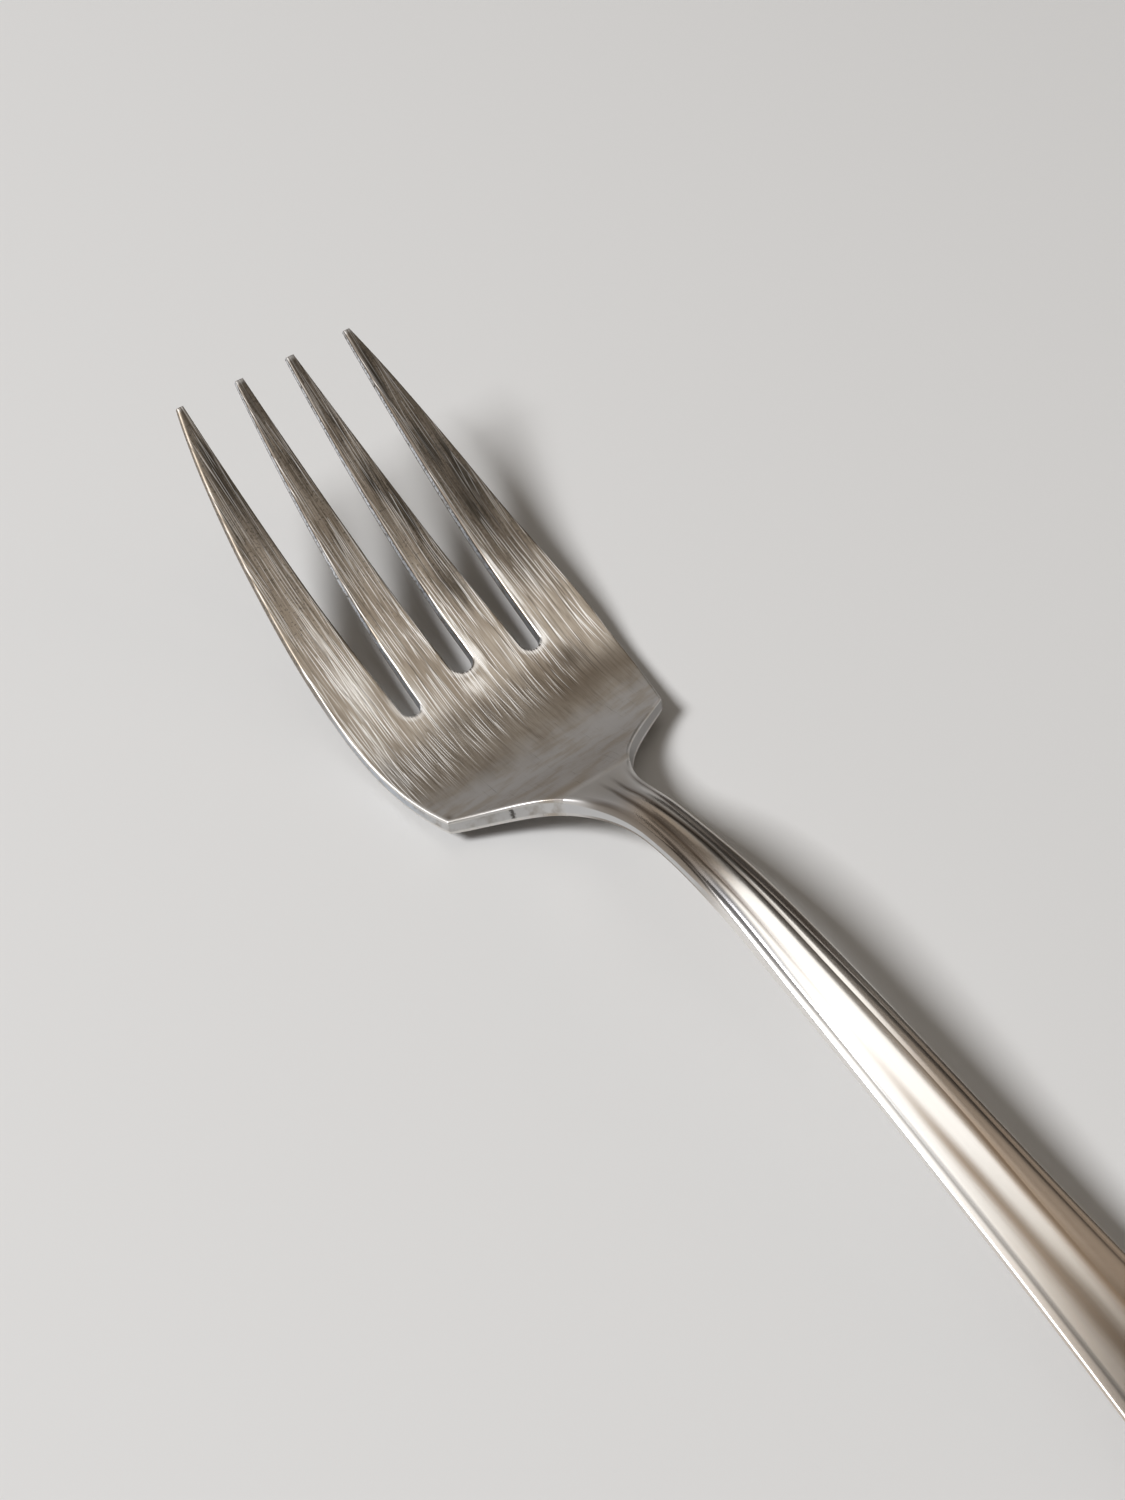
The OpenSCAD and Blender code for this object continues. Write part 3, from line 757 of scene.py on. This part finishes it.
# Rubbed silver of the handle: the head's satin grey at the neck, bright on the reeds, brown in the grooves
# and warmer towards the end.
def makePolishedSilver():
    finish = Finish("polished_silver", polishedSilver)
    across, along, share, rim, wall = finish.attributes("across", "along", "share", "rim", "wall")
    inner, outer, fluted = finish.attributes("innerGroove", "outerGroove", "fluted")
    at = finish.stretches(along)
    brushed, clouds = [finish.stretched(name, across, along) for name in ("brushed", "clouds")]
    neck = finish.ease(along + (clouds - 0.5) * 6.0, *polishedSilver["neck"])
    joint = finish.ease(along + (clouds - 0.5) * 4.0, *polishedSilver["joint"])
    far = finish.ease(along + (clouds - 0.5) * 16.0, *polishedSilver["far"])
    right = finish.ease(share, 0.1, 0.5)

    # bright reeds, warmer towards the end, taupe at the neck and grey at the joint
    colour = finish.paint(polishedSilver["bright"], "warm", far)
    taupe = finish.paint(polishedSilver["shade"], "rusty", finish.ease(share, 0.15, -0.25))
    colour = finish.blend(neck, colour, taupe)
    colour = finish.paint(colour, "satin", joint)
    colour = finish.paint(colour, "lit", at["lit"] * 0.4)
    colour = finish.paint(colour, "beige", right * at["beige"] * 0.85)

    # grooves: broad brown hollows along the grip, dark flutes at the neck, and fine painted shade lines in the
    # outer ones
    reach = 0.45 + at["behind"] * 0.8 + far * 0.9
    hollow = finish.ease(abs(inner - far * 0.2) + (brushed - 0.5) * 0.5, reach, 0.0) * at["behind"] * fluted
    colour = finish.paint(colour, "brown", hollow * 0.9)
    leftNeck = finish.ease(share, -0.4, -0.6) * at["leftFlute"]
    innerFlute = finish.ease(abs(inner) + (brushed - 0.5) * 0.15, 0.5, 0.05) * 0.8
    outerFlute = finish.ease(abs(outer), 0.5, 0.05) * (0.3 + right * 0.3 + leftNeck * 0.4)
    colour = finish.paint(colour, "dark", finish.larger(innerFlute, outerFlute) * fluted * at["fluted"])
    shaded = finish.ease(share, 0.66, 0.8) * at["shadedBack"] * at["shadedFront"]
    colour = finish.paint(colour, "brown", shaded * 0.6)
    # painted shade along the outer grooves: grey-blue on the left, dark brown on the right
    line = finish.ease(abs(outer), 0.45 + at["ahead"] * 0.4, 0.1 + at["ahead"] * 0.15)
    line = line * (0.55 + at["ahead"] * 0.37) * (1.0 - right * 0.3) * at["lined"]
    colour = finish.blend(line * fluted, colour, finish.paint(polishedSilver["grooveShade"], "dark", right))

    # the neck's left edge and its walls
    worn = finish.ease(rim, 0.6, 0.2) * at["neckEdgeBack"] * at["neckEdgeFront"]
    colour = finish.paint(colour, "neckEdge", worn * finish.ease(share, 0.0, -0.5) * 0.75)
    colour = finish.paint(colour, "wall", finish.onWall(wall) * at["wall"])

    rough = polishedSilver["roughness"] + (brushed - 0.5) * 0.06 + joint * 0.13
    finish.feed(finish.shader.inputs["Base Color"], colour)
    finish.feed(finish.shader.inputs["Roughness"], rough + finish.ease(rim, 0.3, 0.05) * 0.15)
    finish.feed(finish.shader.inputs["Metallic"], polishedSilver["metal"])
    return finish.material


head = makeHead()
head.data.materials.append(makeWornSilver())
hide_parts("fork_head")
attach(head, "root")

handle = makeHandle()
handle.data.materials.append(makePolishedSilver())
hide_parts("handle")
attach(handle, "root")
print("fork made")

paper = {
    "size": 3.0,
    "colour": tint(0.70, 0.70, 0.695),
    "roughness": 0.9,
    "gloss": 0.2,
}


# Paper: one flat square in the plane of the table.
def makePaper():
    half = paper["size"] / 2
    corners = [(-half, -half, 0), (half, -half, 0), (half, half, 0), (-half, half, 0)]
    mesh = bpy.data.meshes.new("paper")
    mesh.from_pydata(corners, [], [(0, 1, 2, 3)])
    sheet = bpy.data.objects.new("paper", mesh)
    bpy.context.collection.objects.link(sheet)
    finish = Finish("paper", paper)
    finish.feed(finish.shader.inputs["Base Color"], paper["colour"])
    finish.feed(finish.shader.inputs["Roughness"], paper["roughness"])
    finish.feed(finish.shader.inputs["Specular IOR Level"], paper["gloss"])
    mesh.materials.append(finish.material)


makePaper()

photographer = {
    "place": (-0.10339, -0.09901, 0.21937),
    "pitch": 0.88913,      # radians below the level
    "heading": -0.64543,   # radians from +Y, to the right
    "focalPixels": 2100.0,
    "longSidePixels": 1500.0,
    "sensor": 36.0,
    "clipStart": 0.01,
}


# The camera: right lies level, forward leans down by the pitch, and up is square to both.
def makeCamera():
    data = bpy.data.cameras.new("camera")
    data.sensor_width = photographer["sensor"]
    data.lens = photographer["sensor"] * photographer["focalPixels"] / photographer["longSidePixels"]
    data.clip_start = photographer["clipStart"]
    camera = bpy.data.objects.new("camera", data)
    bpy.context.collection.objects.link(camera)
    heading, pitch = photographer["heading"], photographer["pitch"]
    right = Vector((math.cos(heading), math.sin(heading), 0))
    level = Vector((-math.sin(heading), math.cos(heading), 0))
    forward = level * math.cos(pitch) - Vector((0, 0, math.sin(pitch)))
    turn = Matrix((right, right.cross(forward), -forward)).transposed()
    camera.matrix_world = Matrix.Translation(photographer["place"]) @ turn.to_4x4()
    bpy.context.scene.camera = camera


makeCamera()

studio = {
    "aim": (0.0, 0.02, 0.01),
    # place in metres, sides across and along the fork, watts
    "lamps": {
        "window": {"place": (-1.35, 0.32, 1.51), "size": (0.56, 0.56), "power": 44.0,
                   "colour": (0.99, 0.99, 1.0)},
        "ceiling": {"place": (0.28, 0.32, 1.97), "size": (2.55, 0.96), "power": 4.4,
                    "colour": (1.0, 0.92, 0.82)},
        "far": {"place": (0.9, 1.75, 1.75), "size": (1.6, 1.0), "power": 1.7,
                "colour": (1.0, 0.97, 0.93)},
        "side": {"place": (1.3, -0.35, 0.9), "size": (0.7, 1.1), "power": 1.4,
                 "colour": (1.0, 0.86, 0.72)},
        # a wall and a card that only show in the silver
        "wall": {"place": (-0.2, 2.0, 0.7), "size": (2.8, 1.2), "power": 2.96,
                 "colour": (1.0, 0.97, 0.94), "onPaper": False},
        "card": {"place": (0.28, 0.32, 1.96), "size": (2.55, 0.96), "power": 5.8,
                 "colour": (0.96, 0.98, 1.0), "onPaper": False},
    },
    "room": tint(0.058, 0.051, 0.044),
    "roomStrength": 1.0,
}


# A lamp faces the aim, with its first side level along X.
def makeLamp(name, lamp):
    data = bpy.data.lights.new(name, "AREA")
    data.shape = "RECTANGLE"
    data.size, data.size_y = lamp["size"]
    data.energy = lamp["power"]
    data.color = lamp["colour"]
    light = bpy.data.objects.new(name, data)
    light.visible_diffuse = lamp.get("onPaper", True)
    bpy.context.collection.objects.link(light)
    back = (Vector(lamp["place"]) - Vector(studio["aim"])).normalized()
    across = (Vector((1, 0, 0)) - back * back.x).normalized()
    turn = Matrix((across, back.cross(across), back)).transposed()
    light.matrix_world = Matrix.Translation(lamp["place"]) @ turn.to_4x4()


def makeLights():
    for name, lamp in studio["lamps"].items():
        makeLamp(name, lamp)
    world = bpy.data.worlds.new("room")
    bpy.context.scene.world = world
    world.use_nodes = True
    back = world.node_tree.nodes["Background"]
    back.inputs["Color"].default_value = studio["room"]
    back.inputs["Strength"].default_value = studio["roomStrength"]


makeLights()
bpy.context.scene.view_settings.view_transform = "Standard"
print("studio set")
